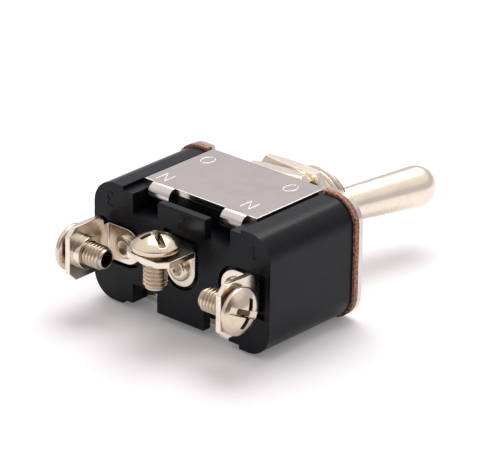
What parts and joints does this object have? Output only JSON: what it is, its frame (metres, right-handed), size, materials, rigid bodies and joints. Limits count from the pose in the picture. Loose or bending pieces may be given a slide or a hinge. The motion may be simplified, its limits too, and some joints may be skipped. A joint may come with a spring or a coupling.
{
  "type": "toggle switch",
  "caption": "Single-pole change-over toggle switch: moulded housing in a folded frame, threaded bushing with nuts, bat lever and screw terminals.",
  "frame": {"origin": "on the bushing axis, in the outer face of the front nut, where the free thread begins", "axes": "+Y along the bushing towards the lever, +X towards terminal 1, +Z square to the side plates; the switch lies on its lower side"},
  "size_m": [0.0348, 0.0563, 0.0188],
  "materials": {
    "phenolic": "moulded black phenolic, glossy",
    "frame_plate": "bright nickel plate on steel sheet",
    "fibre": "red-brown vulcanised fibre",
    "nickel_brass": "nickel plate on brass",
    "nickel_steel": "nickel plate on steel",
    "washer_steel": "plated spring steel",
    "contact_copper": "bare copper alloy strip",
    "silver": "silver contact facing",
    "nylon": "natural nylon",
    "spring_steel": "bright spring wire"
  },
  "bodies": {
    "switch_body": {"housing": "phenolic", "gasket": "fibre", "frame": "frame_plate", "bushing": "nickel_brass", "pivot_pin": "nickel_steel", "rear_nut": "nickel_brass", "lock_washer": "washer_steel", "front_nut": "nickel_brass", "rocker_pillar": "contact_copper", "contact_strip_1": "contact_copper", "fixed_tip_1": "silver", "contact_strip_3": "contact_copper", "fixed_tip_3": "silver", "terminal_1": "nickel_brass", "terminal_screw_1": "nickel_steel", "rivet_1": "nickel_brass", "terminal_2": "nickel_brass", "terminal_screw_2": "nickel_steel", "rivet_2": "nickel_brass", "terminal_3": "nickel_brass", "terminal_screw_3": "nickel_steel", "rivet_3": "nickel_brass"},
    "lever_body": {"lever": "nickel_brass", "plunger_spring": "spring_steel"},
    "plunger_body": {"plunger": "nylon"},
    "rocker_body": {"contact_rocker": "contact_copper", "moving_tip_1": "silver", "moving_tip_3": "silver"}
  },
  "joints": [
    {"name": "lever_throw", "type": "hinge", "parent": "switch_body", "child": "lever_body", "pos_m": [0, -0.00415, 0], "axis": [0, 0, 1], "range_deg": [0, 27]},
    {"name": "rocker_tilt", "type": "hinge", "parent": "switch_body", "child": "rocker_body", "pos_m": [0, -0.0175, 0], "axis": [0, 0, 1], "range_deg": [-13.5, 0]},
    {"name": "plunger_travel", "type": "slide", "parent": "lever_body", "child": "plunger_body", "axis": [0.2334, 0.9724, 0], "range_m": [0, 0.0003], "stiffness_N_per_m": 800, "springref_m": -0.001}
  ],
  "couplings": [
    {"joint": "rocker_tilt", "follows": "lever_throw", "ratio": -0.5}
  ]
}
